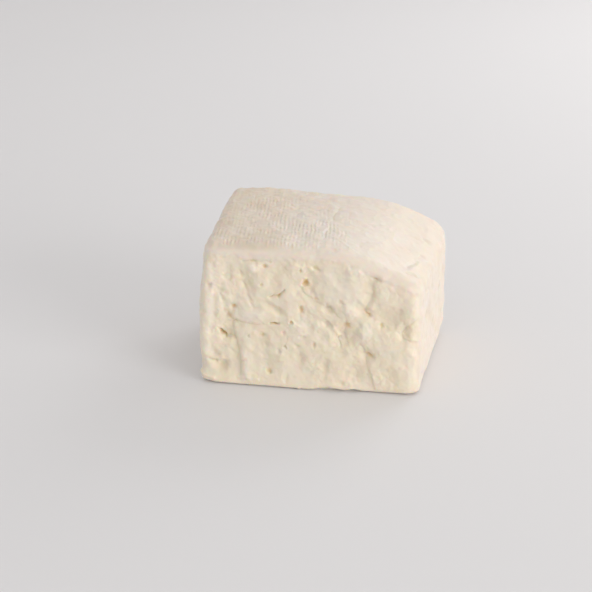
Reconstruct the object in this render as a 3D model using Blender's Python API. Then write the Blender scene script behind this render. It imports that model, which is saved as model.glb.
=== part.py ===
"""A block of feta: one solid piece of pressed, brined white cheese with broken cut faces.

Run it with blender --background --python part.py, or from Blender's text editor.

The block rests on z = 0 with the middle of its footprint at the origin. Its long side runs
along X, the cut face with the most crags looks towards -Y, and the opposite end of the cut
looks towards +Y. The top, left and right were pressed against cloth and are smooth.

Sizes are in millimetres. The mesh is written in metres.
"""

import itertools
from typing import NamedTuple

import bmesh
import bpy
import numpy as np

METRES_PER_MM = 0.001

# Overall size
LENGTH = 100.0
DEPTH = 72.0
HEIGHT = 65.0

# The top is a low dome that slumps towards the right end
DOME_FALL_ALONG = 1.0
DOME_FALL_ACROSS = 0.6
DOME_MIDDLE_X = -15.0
SLUMP_X = 33.8
SLUMP_HEIGHT = 57.1
SLUMP_FALL_ALONG = 0.455
SLUMP_RISE_BACK = 0.055
SLUMP_BLEND = 6.0

# The left side bulges a little, and both sides flare out towards the back
LEFT_X = -50.7
LEFT_BULGE_HEIGHT = 24.0
LEFT_BULGE = 3.3
LEFT_FLARE = 2.2
LEFT_FLARE_HEIGHT = 45.0
RIGHT_FRONT_X = 44.7
RIGHT_FLARE_FOOT = 3.0
RIGHT_FLARE_TOP = 1.2
RIGHT_FLARE_HEIGHT = 8.0

# The front face spreads at its foot, more on the left than on the right
FOOT_SPREAD = 2.4
FOOT_SPREAD_HEIGHT = 10.0
FOOT_SPREAD_FROM = 0.0
FOOT_SPREAD_TO = 25.0

# How far from each face its edges start to turn
EDGE_REACH = 3.2
LEFT_REACH = 5.0
RIGHT_REACH = 6.5
RIGHT_FRONT_REACH = 4.6
TOP_REACH = 4.5
SHOULDER_REACH = 6.5
FOOT_REACH = 2.2
SHOULDER_FROM = 42.0
SHOULDER_TO = 60.0

# The foot was cut flat by its own weight: this much of its rounding lies below z = 0
FOOT_SKIM = 0.45

# Mesh
GRID_STEP = 1.0
MOST_TRIANGLES = 11000

# Surface colour and finish of moist white cheese
CHEESE_COLOUR = (0.83, 0.74, 0.60)
CHEESE_ROUGHNESS = 0.45


class Hollow(NamedTuple):
    """A pit in a cut face, or a lump where its depth is below zero. x and z are its middle."""

    x: float
    z: float
    width: float
    height: float
    depth: float
    turn: float = 0.0


class Stroke(NamedTuple):
    """A groove along a bent line in a cut face, or a rib where its depth is below zero."""

    path: tuple
    width: float
    depth: float


class Tear(NamedTuple):
    """A low step along a bent line: the side to the right of the path drops, then fades."""

    path: tuple
    drop: float
    fade: float


# The front face, from left to right: broad swells and hollows, then pits, then shallow dimples
FRONT_SWELLS = (
    Hollow(-47.5, 27.0, 5.0, 15.0, -1.5),
    Hollow(-45.5, 42.0, 5.0, 25.0, -1.2),
    Hollow(-44.0, 13.0, 4.0, 10.0, 0.3),
    Hollow(-41.0, 36.5, 3.6, 9.0, -0.7),
    Hollow(-40.5, 8.3, 5.6, 4.4, 1.6),
    Hollow(-39.6, 27.0, 3.4, 7.0, 0.5, 18),
    Hollow(-38.5, 22.5, 6.0, 5.0, 1.3),
    Hollow(-38.0, 31.0, 4.5, 13.0, 0.7, 12),
    Hollow(-37.0, 43.0, 5.0, 8.0, -0.6),
    Hollow(-37.0, 50.0, 3.5, 8.0, 0.6),
    Hollow(-29.8, 48.0, 6.0, 10.0, 0.9, 15),
    Hollow(-29.5, 15.0, 5.0, 24.0, -1.0),
    Hollow(-27.0, 32.5, 13.0, 6.0, -1.2),
    Hollow(-26.3, 54.3, 4.5, 4.0, -1.2),
    Hollow(-23.5, 46.0, 5.0, 12.0, -0.3),
    Hollow(-22.5, 21.0, 6.0, 9.0, 0.9),
    Hollow(-20.5, 10.0, 5.0, 9.0, 0.7),
    Hollow(-17.5, 36.3, 8.5, 3.2, 1.5, -30),
    Hollow(-17.0, 49.5, 5.0, 12.0, 0.5),
    Hollow(-13.0, 11.0, 5.0, 14.0, -0.5),
    Hollow(-11.5, 41.0, 7.0, 12.0, -0.2),
    Hollow(-8.0, 27.5, 8.0, 10.0, -0.6),
    Hollow(-8.0, 55.8, 6.0, 4.5, -0.7),
    Hollow(-6.5, 14.0, 4.0, 6.0, 0.9),
    Hollow(-6.5, 48.5, 7.0, 4.5, 0.5),
    Hollow(-2.0, 48.5, 4.5, 10.0, 1.0, 10),
    Hollow(0.6, 29.8, 3.0, 3.2, -0.6),
    Hollow(4.6, 11.0, 4.0, 8.0, 0.8),
    Hollow(5.4, 30.5, 4.0, 3.0, 1.0, -25),
    Hollow(5.6, 38.2, 5.0, 3.8, 1.2, -35),
    Hollow(7.0, 48.0, 9.0, 18.0, -0.9),
    Hollow(7.6, 29.0, 2.4, 8.0, 0.5, 40),
    Hollow(10.5, 19.0, 5.0, 10.0, 0.3),
    Hollow(11.0, 27.0, 5.0, 13.0, 0.7, -8),
    Hollow(14.5, 3.0, 12.0, 6.0, -1.0),
    Hollow(14.5, 37.5, 7.0, 6.0, -1.5, -45),
    Hollow(16.5, 54.0, 9.0, 10.0, -1.3),
    Hollow(17.0, 10.5, 8.0, 14.0, 0.7),
    Hollow(21.5, 37.5, 5.0, 5.0, 0.9),
    Hollow(22.2, 29.0, 8.0, 11.0, -1.5),
    Hollow(22.5, 17.5, 6.0, 6.0, 1.3),
    Hollow(22.8, 45.0, 3.5, 14.0, 0.5, -10),
    Hollow(28.5, 46.5, 5.0, 8.0, -0.5),
    Hollow(29.5, 20.0, 5.0, 10.0, -0.5),
    Hollow(31.0, 35.0, 11.0, 10.0, 1.5),
    Hollow(32.0, 10.0, 6.0, 8.0, 0.6),
    Hollow(39.3, 29.5, 5.0, 7.0, 1.2),
    Hollow(41.5, 14.0, 5.0, 20.0, -0.3),
    Hollow(42.0, 40.5, 6.0, 10.0, -0.8),
)
FRONT_PITS = (
    Hollow(-40.0, 23.2, 5.0, 2.0, 2.2, -52),
    Hollow(-37.0, 31.4, 2.4, 3.2, 0.8, 30),
    Hollow(-34.8, 36.0, 2.6, 2.2, 1.0),
    Hollow(-34.2, 29.4, 2.0, 2.6, 0.6, 20),
    Hollow(-22.8, 23.9, 2.6, 2.8, 0.6),
    Hollow(-21.5, 55.6, 2.4, 2.0, 0.8),
    Hollow(-19.6, 7.3, 2.8, 2.0, 0.7, -25),
    Hollow(-17.6, 29.4, 3.8, 2.0, 2.2, 3),
    Hollow(-6.0, 36.3, 2.2, 3.6, 1.3, 8),
    Hollow(-4.3, 48.8, 2.8, 3.4, 2.1, -15),
    Hollow(-0.2, 20.8, 2.0, 2.8, 0.7),
    Hollow(0.2, 55.6, 3.4, 2.0, 0.7, -25),
    Hollow(13.8, 31.0, 3.0, 3.4, 1.2, -15),
    Hollow(22.6, 36.4, 3.8, 2.0, 1.2, -35),
    Hollow(23.5, 17.4, 3.6, 2.2, 1.1, -35),
    Hollow(26.4, 52.6, 4.4, 2.0, 0.8, -5),
    Hollow(28.3, 32.0, 2.0, 2.3, 0.8),
)
FRONT_DIMPLES = (
    Hollow(-45.0, 45.6, 2.6, 3.0, 1.2),
    Hollow(-39.8, 40.0, 2.0, 4.0, 0.5, 25),
    Hollow(-12.3, 5.0, 2.0, 4.2, 0.7),
    Hollow(-5.4, 24.0, 3.0, 2.0, 0.8),
    Hollow(11.2, 41.6, 2.6, 2.0, 0.6, -20),
    Hollow(35.0, 38.6, 3.2, 4.6, 0.5),
    Hollow(40.5, 29.0, 5.0, 5.0, 0.9),
)
FRONT_GROOVES = (
    Stroke(((-38.6, 21.6), (-35.0, 21.6)), 1.8, 0.7),
    Stroke(((-30.6, 46.6), (-28.6, 41.5), (-26.2, 36.0)), 1.8, 0.4),
    Stroke(((-19.2, 41.6), (-15.8, 41.9), (-13.6, 44.6)), 1.6, 0.9),
)
FRONT_TEARS = (
    Tear(((-34.8, 30.2), (-34.7, 24.6), (-33.7, 20.0), (-32.0, 15.0), (-31.5, 6.0)), 0.7, 4.0),
    Tear(((-33.6, 29.2), (-27.7, 29.0), (-24.9, 28.9), (-19.4, 29.4)), 0.6, 3.0),
    Tear(((-5.4, 46.0), (-3.8, 44.4), (0.6, 41.2), (3.4, 39.8), (6.4, 38.1), (8.8, 36.0)), 0.5, 3.0),
    Tear(((13.9, 32.0), (13.1, 29.5), (12.8, 26.5), (13.6, 24.0)), 0.7, 3.0),
    Tear(((24.9, 51.5), (24.7, 46.4), (23.3, 42.4), (22.0, 38.2)), 0.6, 4.0),
    Tear(((20.4, 27.0), (21.2, 21.6), (23.4, 18.0), (23.8, 14.2), (24.8, 10.0), (26.4, 5.6)), 0.7, 4.0),
    Tear(((41.3, 34.0), (39.2, 31.2), (36.8, 28.6), (38.2, 26.4), (43.0, 25.0)), 0.7, 3.0),
)

# How steep the sides of each kind of mark are, and half the width over which a tear drops
HOLLOW_STEEPNESS = 1.4
STROKE_STEEPNESS = 2.4
TEAR_STEEPNESS = 1.5
TEAR_SHARP = 0.5

# The back was cut too. Its crags are drawn at random, between these sizes and places
BACK_HOLLOW_SEED = 11
BACK_HOLLOW_COUNT = 34
BACK_HOLLOW_WIDTH = (2.2, 7.0)
BACK_HOLLOW_DEPTH = (0.8, 2.2)
BACK_HOLLOW_X = (-43.0, 43.0)
BACK_HOLLOW_Z = (6.0, 52.0)
BACK_GROOVE_SEED = 12
BACK_GROOVE_COUNT = 9
BACK_GROOVE_DEPTH = (0.6, 1.2)
BACK_RIB_SEED = 13
BACK_RIB_COUNT = 7
BACK_RIB_DEPTH = (-1.2, -0.5)
BACK_TEAR_SEED = 14
BACK_TEAR_COUNT = 7
BACK_TEAR_DROP = (0.5, 1.1)
BACK_TEAR_FADE = (2.0, 5.0)
BACK_STROKE_X = (-38.0, 38.0)
BACK_STROKE_Z = (10.0, 47.0)
BACK_STROKE_LENGTH = (4.0, 13.0)
BACK_STROKE_WIDTH = (1.8, 3.0)
BACK_STROKE_KINK = 0.3

# Wide back hollows are shallower: their depth is for hollows up to this width
BACK_HOLLOW_FULL_WIDTH = 2.5

# Few of the back hollows are wide: a higher power means fewer
BACK_HOLLOW_SPREAD = 2.5

# Pressed curds show as facets: the size, step, tilt and sharpness of each layer of them
FRONT_CURDS = ((6.0, 0.14, 0.1, 7.0),)
BACK_CURDS = ((13.0, 0.6, 0.2, 7.0), (6.0, 0.14, 0.1, 7.0))
CURD_JITTER = 0.4
CURD_BEND_SIZE = 6.0
CURD_BEND = 1.6
BACK_SWELL_SIZE = 26.0
BACK_SWELL = 0.7
FRONT_CURD_SEED = 20
BACK_CURD_SEED = 40

# The cut faces end in a ragged line below the pressed skin of the top
RIM_X = (-50.0, -46.0, -31.0, 12.0, 25.0, 42.0, 50.0)
RIM_Z = (62.0, 61.0, 58.9, 60.0, 54.6, 47.0, 43.5)
RIM_FADE = 1.6
RIM_RAGGED_SIZE = 3.0
RIM_RAGGED = 0.8
RIM_SEED = 5

# Crags fade in between these heights, and where the surface turns this far to the front or back
CUT_FOOT_FADE = (0.3, 2.4)
CUT_TURN_FADE = (0.55, 0.9)

# The pressed skin: low swells, one crease across the top and dents near its right end
SKIN_SWELL_SIZE = 17.0
SKIN_SWELL = 0.35
SKIN_SEED = 2
SKIN_FOOT_FADE = 4.0
TOP_TURN_FADE = (0.3, 0.8)
TOP_CREASE = Stroke(((2.0, 14.0), (1.3, -4.0), (1.2, -24.0)), 3.0, 0.45)
TOP_DENTS = (
    Hollow(-31.0, 26.0, 36.0, 44.0, -0.9),
    Hollow(39.5, -27.0, 6.0, 2.6, 0.7, 30),
    Hollow(42.5, 9.0, 5.0, 3.0, 0.7),
)


def soft_min(first, second, blend):
    """The lower of two heights, eased where they are closer than blend."""
    near = np.maximum(blend - np.abs(first - second), 0.0) / blend
    return np.minimum(first, second) - near * near * blend / 4.0


def ease(low, high, value):
    """0 below low and 1 above high, with a smooth rise between."""
    share = np.clip((value - low) / (high - low), 0.0, 1.0)
    return share * share * (3.0 - 2.0 * share)


def lattice_noise(points, size, seed):
    """Smooth noise from -1 to 1, with a random value at each corner of a grid of this size."""
    corners_across = 24
    lattice = np.random.default_rng(seed).uniform(-1.0, 1.0, (corners_across,) * 3)
    cell = points / size
    low = np.floor(cell).astype(int)
    share = cell - low
    share = share * share * (3.0 - 2.0 * share)
    total = np.zeros(len(points))
    for corner in itertools.product((0, 1), repeat=3):
        x, y, z = ((low + corner) % corners_across).T
        weight = np.where(corner, share, 1.0 - share).prod(axis=1)
        total += weight * lattice[x, y, z]
    return total


def curd_facets(u, v, size, step, tilt, sharpness, seed):
    """Height of tilted facets about size across, as where pressed curds come apart."""
    curds_across = 32
    curds = np.random.default_rng(seed).uniform(-1.0, 1.0, (curds_across, curds_across, 5))
    column = np.floor(u / size).astype(int)
    row = np.floor(v / size).astype(int)
    height = np.zeros(len(u))
    total = np.zeros(len(u))
    for across, up in itertools.product((-1, 0, 1), repeat=2):
        curd = curds[(column + across) % curds_across, (row + up) % curds_across]
        from_u = u - (column + across + 0.5 + CURD_JITTER * curd[:, 0]) * size
        from_v = v - (row + up + 0.5 + CURD_JITTER * curd[:, 1]) * size
        weight = np.exp(-sharpness * (from_u**2 + from_v**2) / size**2)
        height += weight * (step * curd[:, 2] + tilt * (curd[:, 3] * from_u + curd[:, 4] * from_v))
        total += weight
    return height / total


def hollow_depth(hollow, u, v):
    """How deep a hollow is at each place: flat in the middle, with steep sides."""
    turn = np.radians(hollow.turn)
    along = (u - hollow.x) * np.cos(turn) + (v - hollow.z) * np.sin(turn)
    across = (v - hollow.z) * np.cos(turn) - (u - hollow.x) * np.sin(turn)
    reach = (2.0 * along / hollow.width) ** 2 + (2.0 * across / hollow.height) ** 2
    return hollow.depth * np.exp(-(reach**HOLLOW_STEEPNESS))


def from_path(path, u, v):
    """Distance to the nearest point of a bent line, and how far right of it each place is."""
    nearest = np.full(len(u), np.inf)
    right = np.zeros(len(u))
    for (u0, v0), (u1, v1) in itertools.pairwise(path):
        run = np.hypot(u1 - u0, v1 - v0)
        share = ((u - u0) * (u1 - u0) + (v - v0) * (v1 - v0)) / run**2
        share = np.clip(share, 0.0, 1.0)
        gap = np.hypot(u - u0 - share * (u1 - u0), v - v0 - share * (v1 - v0))
        side = ((u - u0) * (v1 - v0) - (v - v0) * (u1 - u0)) / run
        right = np.where(gap < nearest, side, right)
        nearest = np.minimum(nearest, gap)
    return nearest, right


def stroke_depth(stroke, u, v):
    """How deep a stroke is at each place."""
    gap, _ = from_path(stroke.path, u, v)
    return stroke.depth * np.exp(-((2.0 * gap / stroke.width) ** STROKE_STEEPNESS))


def tear_depth(tear, u, v):
    """How deep a tear is at each place: a sharp step that fades away from its line."""
    gap, right = from_path(tear.path, u, v)
    fade = np.exp(-((gap / tear.fade) ** TEAR_STEEPNESS))
    return tear.drop * ease(-TEAR_SHARP, TEAR_SHARP, right) * fade


def top_height(x, y):
    """Height of the pressed top."""
    along = (x - DOME_MIDDLE_X) / (LENGTH / 2.0)
    across = y / (DEPTH / 2.0)
    dome = HEIGHT - DOME_FALL_ALONG * along**2 - DOME_FALL_ACROSS * across**2
    slump = SLUMP_HEIGHT - SLUMP_FALL_ALONG * (x - SLUMP_X) + SLUMP_RISE_BACK * y
    return soft_min(dome, slump, SLUMP_BLEND)


def left_x(y, z):
    """Where the left side stands at this depth and height."""
    back = y / DEPTH + 0.5
    hollowed = LEFT_BULGE * ((z - LEFT_BULGE_HEIGHT) / (HEIGHT - LEFT_BULGE_HEIGHT)) ** 2
    return LEFT_X + hollowed - LEFT_FLARE * back * ease(0.0, LEFT_FLARE_HEIGHT, z)


def right_x(y, z):
    """Where the right side stands at this depth and height."""
    back = y / DEPTH + 0.5
    flare = RIGHT_FLARE_FOOT + RIGHT_FLARE_TOP * ease(0.0, RIGHT_FLARE_HEIGHT, z)
    return RIGHT_FRONT_X + flare * back


def front_y(x, z):
    """Where the front face stands, before its relief."""
    share = 1.0 - ease(FOOT_SPREAD_FROM, FOOT_SPREAD_TO, x)
    return -DEPTH / 2.0 - FOOT_SPREAD * share * (1.0 - ease(0.0, FOOT_SPREAD_HEIGHT, z))


def outside(points):
    """Below zero inside the rounded block and above zero outside it."""
    x, y, z = points.T
    shoulder = ease(SHOULDER_FROM, SHOULDER_TO, z)
    front_reach = EDGE_REACH + (SHOULDER_REACH - EDGE_REACH) * shoulder
    front_reach = np.maximum(front_reach, RIGHT_FRONT_REACH * ease(10.0, 40.0, x))
    faces = (
        (z - top_height(x, y), TOP_REACH),
        (-FOOT_SKIM - z, FOOT_REACH),
        (left_x(y, z) - x, LEFT_REACH),
        (x - right_x(y, z), RIGHT_REACH),
        (front_y(x, z) - y, front_reach),
        (y - DEPTH / 2.0, EDGE_REACH),
    )
    turned = sum(np.maximum(gap / reach + 1.0, 0.0) ** 2 for gap, reach in faces)
    return np.sqrt(turned) - 1.0


def settle(cube_points):
    """Moves points on a cube from -1 to 1 along lines from the middle to the rounded block."""
    middle = np.array((0.0, 0.0, HEIGHT / 2.0))
    ways = cube_points * (LENGTH / 2.0, DEPTH / 2.0, HEIGHT / 2.0)
    near = np.full(len(ways), 0.5)
    far = np.full(len(ways), 1.5)
    for _ in range(30):
        half = (near + far) / 2.0
        out = outside(middle + ways * half[:, None]) > 0.0
        far = np.where(out, half, far)
        near = np.where(out, near, half)
    return middle + ways * near[:, None]


def outward(points):
    """Unit vectors that point straight out of the rounded block."""
    step = 0.05
    slope = np.stack(
        [outside(points + step * way) - outside(points - step * way) for way in np.eye(3)], axis=1
    )
    return slope / np.linalg.norm(slope, axis=1)[:, None]


def on_cut(points, normals, side):
    """1 where a point lies on the cut face that looks along side, fading out at its edges."""
    x, _, z = points.T
    faces_it = ease(*CUT_TURN_FADE, side * normals[:, 1])
    ragged = RIM_RAGGED * lattice_noise(points, RIM_RAGGED_SIZE, RIM_SEED)
    below_rim = ease(0.0, RIM_FADE, np.interp(x, RIM_X, RIM_Z) + ragged - z)
    above_foot = ease(*CUT_FOOT_FADE, z)
    return faces_it * below_rim * above_foot


def curd_relief(points, layers, seed):
    """Depth of the curd facets of a cut face."""
    x, _, z = points.T
    depth = np.zeros(len(points))
    bend = CURD_BEND * lattice_noise(points, CURD_BEND_SIZE, seed + 1)
    bend_too = CURD_BEND * lattice_noise(points, CURD_BEND_SIZE, seed + 2)
    for layer, (size, step, tilt, sharpness) in enumerate(layers):
        depth += curd_facets(x + bend, z + bend_too, size, step, tilt, sharpness, seed + 4 + layer)
    return depth


def back_hollows():
    """Hollows for the back face, drawn at random clear of its edges."""
    random = np.random.default_rng(BACK_HOLLOW_SEED)
    narrow, wide = BACK_HOLLOW_WIDTH
    hollows = []
    for _ in range(BACK_HOLLOW_COUNT):
        width = narrow + (wide - narrow) * random.uniform() ** BACK_HOLLOW_SPREAD
        hollows.append(
            Hollow(
                random.uniform(*BACK_HOLLOW_X),
                random.uniform(*BACK_HOLLOW_Z),
                width,
                width * random.uniform(0.5, 1.0),
                random.uniform(*BACK_HOLLOW_DEPTH) * min(1.0, BACK_HOLLOW_FULL_WIDTH / width),
                random.uniform(-90.0, 90.0),
            )
        )
    return hollows


def back_path(random):
    """A line with one bend in it, somewhere on the back face."""
    u = random.uniform(*BACK_STROKE_X)
    v = random.uniform(*BACK_STROKE_Z)
    turn = random.uniform(-np.pi, np.pi)
    reach = random.uniform(*BACK_STROKE_LENGTH) / 2.0
    along = reach * np.cos(turn)
    up = reach * np.sin(turn)
    kink = BACK_STROKE_KINK * reach * random.uniform(-1.0, 1.0)
    return ((u - along, v - up), (u - kink * np.sin(turn), v + kink), (u + along, v + up))


def back_strokes(seed, count, depth):
    """Grooves or ribs for the back face, with depths between two limits."""
    random = np.random.default_rng(seed)
    return [
        Stroke(back_path(random), random.uniform(*BACK_STROKE_WIDTH), random.uniform(*depth))
        for _ in range(count)
    ]


def back_tears():
    """Tears for the back face."""
    random = np.random.default_rng(BACK_TEAR_SEED)
    return [
        Tear(back_path(random), random.uniform(*BACK_TEAR_DROP), random.uniform(*BACK_TEAR_FADE))
        for _ in range(BACK_TEAR_COUNT)
    ]


def crag_relief(points, hollows, strokes, tears):
    """Depth of named hollows, strokes and tears, added up."""
    x, _, z = points.T
    depth = np.zeros(len(points))
    for hollow in hollows:
        depth += hollow_depth(hollow, x, z)
    for stroke in strokes:
        depth += stroke_depth(stroke, x, z)
    for tear in tears:
        depth += tear_depth(tear, x, z)
    return depth


def skin_relief(points, normals):
    """Depth of the swells, the crease and the dents of the pressed skin."""
    x, y, _ = points.T
    depth = SKIN_SWELL * lattice_noise(points, SKIN_SWELL_SIZE, SKIN_SEED)
    on_top = ease(*TOP_TURN_FADE, normals[:, 2])
    marks = stroke_depth(TOP_CREASE, x, y)
    for dent in TOP_DENTS:
        marks += hollow_depth(dent, x, y)
    return depth + on_top * marks


def shape_block(cube_points):
    """The block's surface points in millimetres, from points on a cube from -1 to 1."""
    points = settle(cube_points)
    normals = outward(points)
    depth = skin_relief(points, normals) * ease(0.0, SKIN_FOOT_FADE, points[:, 2])
    front = on_cut(points, normals, -1.0)
    back = on_cut(points, normals, 1.0)
    front_crags = (FRONT_SWELLS + FRONT_PITS + FRONT_DIMPLES, FRONT_GROOVES, FRONT_TEARS)
    grooves = back_strokes(BACK_GROOVE_SEED, BACK_GROOVE_COUNT, BACK_GROOVE_DEPTH)
    ribs = back_strokes(BACK_RIB_SEED, BACK_RIB_COUNT, BACK_RIB_DEPTH)
    back_crags = (back_hollows(), grooves + ribs, back_tears())
    front_curds = curd_relief(points, FRONT_CURDS, FRONT_CURD_SEED)
    back_curds = curd_relief(points, BACK_CURDS, BACK_CURD_SEED)
    back_curds += BACK_SWELL * lattice_noise(points, BACK_SWELL_SIZE, BACK_CURD_SEED)
    depth += front * (front_curds + crag_relief(points, *front_crags))
    depth += back * (back_curds + crag_relief(points, *back_crags))
    return points - normals * depth[:, None]


def cube_grid(name):
    """A cube from -1 to 1 whose faces are cut into a grid, about GRID_STEP apart on the block."""
    mesh = bpy.data.meshes.new(name)
    grid = bmesh.new()
    bmesh.ops.create_cube(grid, size=2.0)
    for axis, side in enumerate((LENGTH, DEPTH, HEIGHT)):
        along = [
            edge
            for edge in grid.edges
            if abs(edge.verts[0].co[axis] - edge.verts[1].co[axis]) > 1.0
        ]
        bmesh.ops.subdivide_edges(
            grid, edges=along, cuts=round(side / GRID_STEP) - 1, use_grid_fill=False
        )
    grid.to_mesh(mesh)
    grid.free()
    return mesh


def move_points(mesh, shape):
    """Moves every point of the mesh through a function, and writes it in metres."""
    points = np.empty(len(mesh.vertices) * 3)
    mesh.vertices.foreach_get("co", points)
    moved = shape(points.reshape(-1, 3)) * METRES_PER_MM
    mesh.vertices.foreach_set("co", moved.ravel())
    mesh.update()


def reduce_triangles(block, most):
    """Merges the mesh down to this many triangles, which keeps most of them in the crags."""
    lighter = block.modifiers.new("fewer triangles", "DECIMATE")
    lighter.ratio = most / (2 * len(block.data.polygons))
    lighter.use_collapse_triangulate = True
    graph = bpy.context.evaluated_depsgraph_get()
    reduced = bpy.data.meshes.new_from_object(block.evaluated_get(graph))
    block.modifiers.clear()
    block.data = reduced


def cut_foot_flat(mesh):
    """Cuts away what lies below z = 0 and closes the foot with one flat face."""
    solid = bmesh.new()
    solid.from_mesh(mesh)
    everything = solid.verts[:] + solid.edges[:] + solid.faces[:]
    cut = bmesh.ops.bisect_plane(
        solid, geom=everything, dist=1e-5, plane_co=(0, 0, 0), plane_no=(0, 0, 1), clear_inner=True
    )
    rim = [part for part in cut["geom_cut"] if isinstance(part, bmesh.types.BMEdge)]
    bmesh.ops.contextual_create(solid, geom=rim)
    bmesh.ops.recalc_face_normals(solid, faces=solid.faces)
    solid.to_mesh(mesh)
    solid.free()


def centre_footprint(mesh):
    """Moves the mesh so that the middle of its bounding box lies over the origin."""
    points = np.empty(len(mesh.vertices) * 3)
    mesh.vertices.foreach_get("co", points)
    points = points.reshape(-1, 3)
    middle = (points.min(axis=0) + points.max(axis=0)) / 2.0
    points[:, :2] -= middle[:2]
    mesh.vertices.foreach_set("co", points.ravel())
    mesh.update()


def cheese_material():
    """Moist cream-white cheese."""
    material = bpy.data.materials.new("feta")
    material.use_nodes = True
    shader = material.node_tree.nodes["Principled BSDF"]
    shader.inputs["Base Color"].default_value = (*CHEESE_COLOUR, 1.0)
    shader.inputs["Roughness"].default_value = CHEESE_ROUGHNESS
    shader.inputs["Metallic"].default_value = 0.0
    return material


def clear_scene():
    for obj in list(bpy.data.objects):
        bpy.data.objects.remove(obj, do_unlink=True)


def build():
    clear_scene()
    mesh = cube_grid("feta_block")
    move_points(mesh, shape_block)
    block = bpy.data.objects.new("feta_block", mesh)
    bpy.context.scene.collection.objects.link(block)
    reduce_triangles(block, MOST_TRIANGLES)
    cut_foot_flat(block.data)
    centre_footprint(block.data)
    block.data.materials.append(cheese_material())
    block.data.shade_smooth()


build()
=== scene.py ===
import itertools
from typing import NamedTuple

import bmesh
import bpy
import numpy as np
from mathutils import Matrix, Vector


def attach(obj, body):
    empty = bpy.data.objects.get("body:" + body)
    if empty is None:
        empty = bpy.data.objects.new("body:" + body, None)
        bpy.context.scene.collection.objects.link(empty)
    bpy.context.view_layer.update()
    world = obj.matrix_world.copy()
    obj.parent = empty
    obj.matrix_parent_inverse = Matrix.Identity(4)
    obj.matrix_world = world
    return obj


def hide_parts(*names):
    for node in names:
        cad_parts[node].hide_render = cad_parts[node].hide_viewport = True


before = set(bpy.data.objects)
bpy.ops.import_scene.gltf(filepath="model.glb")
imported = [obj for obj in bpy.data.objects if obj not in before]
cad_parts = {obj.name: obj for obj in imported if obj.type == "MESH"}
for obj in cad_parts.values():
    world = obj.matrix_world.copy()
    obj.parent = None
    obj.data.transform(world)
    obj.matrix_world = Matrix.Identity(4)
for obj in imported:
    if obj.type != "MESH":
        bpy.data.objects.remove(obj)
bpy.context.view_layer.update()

# The pressed body of the block. Feta is curd that drains under weights in a mould lined with
# cloth: its top and ends come out smooth, with soft edges, and it slumps a little on its foot.
# Here it is a cube grid that settles on six gently curved sides. Sizes are in millimetres.
METRES_PER_MM = 0.001
BLOCK_LENGTH = 100.0
BLOCK_DEPTH = 72.0
BLOCK_HEIGHT = 65.0

DOME_FALL_ALONG = 1.0
DOME_FALL_ACROSS = 0.6
DOME_MIDDLE_X = -15.0
SLUMP_X = 33.8
SLUMP_HEIGHT = 57.1
SLUMP_FALL_ALONG = 0.455
SLUMP_RISE_BACK = 0.055
SLUMP_BLEND = 6.0

LEFT_X = -50.7
LEFT_BULGE_HEIGHT = 24.0
LEFT_BULGE = 3.3
LEFT_FLARE = 2.2
LEFT_FLARE_HEIGHT = 45.0
RIGHT_FRONT_X = 44.7
RIGHT_FLARE_FOOT = 3.0
RIGHT_FLARE_TOP = 1.2
RIGHT_FLARE_HEIGHT = 8.0

FOOT_SPREAD = 2.4
FOOT_SPREAD_HEIGHT = 10.0
FOOT_SPREAD_FROM = 0.0
FOOT_SPREAD_TO = 25.0

EDGE_REACH = 3.2
LEFT_REACH = 5.0
RIGHT_REACH = 6.5
RIGHT_FRONT_REACH = 4.6
RIGHT_FRONT_EDGE_X = (10.0, 40.0)
TOP_REACH = 4.5
SHOULDER_REACH = 6.5
FOOT_REACH = 2.2
SHOULDER_FROM = 42.0
SHOULDER_TO = 60.0
FOOT_SKIM = 0.2
SETTLE_REACH = (0.5, 1.5)
SETTLE_HALVINGS = 22
SLOPE_STEP = 0.05


def soft_min(first, second, blend):
    """The lower of two heights, eased where they are closer than blend."""
    near = np.maximum(blend - np.abs(first - second), 0.0) / blend
    return np.minimum(first, second) - near * near * blend / 4.0


def ease(low, high, value):
    """0 below low and 1 above high, with a smooth rise between."""
    share = np.clip((value - low) / (high - low), 0.0, 1.0)
    return share * share * (3.0 - 2.0 * share)


def top_height(x, y):
    """Height of the pressed top."""
    along = (x - DOME_MIDDLE_X) / (BLOCK_LENGTH / 2.0)
    across = y / (BLOCK_DEPTH / 2.0)
    dome = BLOCK_HEIGHT - DOME_FALL_ALONG * along**2 - DOME_FALL_ACROSS * across**2
    slump = SLUMP_HEIGHT - SLUMP_FALL_ALONG * (x - SLUMP_X) + SLUMP_RISE_BACK * y
    return soft_min(dome, slump, SLUMP_BLEND)


def left_x(y, z):
    """Where the left side stands at this depth and height."""
    back = y / BLOCK_DEPTH + 0.5
    hollowed = LEFT_BULGE * ((z - LEFT_BULGE_HEIGHT) / (BLOCK_HEIGHT - LEFT_BULGE_HEIGHT)) ** 2
    return LEFT_X + hollowed - LEFT_FLARE * back * ease(0.0, LEFT_FLARE_HEIGHT, z)


def right_x(y, z):
    """Where the right side stands at this depth and height."""
    back = y / BLOCK_DEPTH + 0.5
    flare = RIGHT_FLARE_FOOT + RIGHT_FLARE_TOP * ease(0.0, RIGHT_FLARE_HEIGHT, z)
    return RIGHT_FRONT_X + flare * back


def front_y(x, z):
    """Where the front face stands, before its relief."""
    share = 1.0 - ease(FOOT_SPREAD_FROM, FOOT_SPREAD_TO, x)
    return -BLOCK_DEPTH / 2.0 - FOOT_SPREAD * share * (1.0 - ease(0.0, FOOT_SPREAD_HEIGHT, z))


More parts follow.
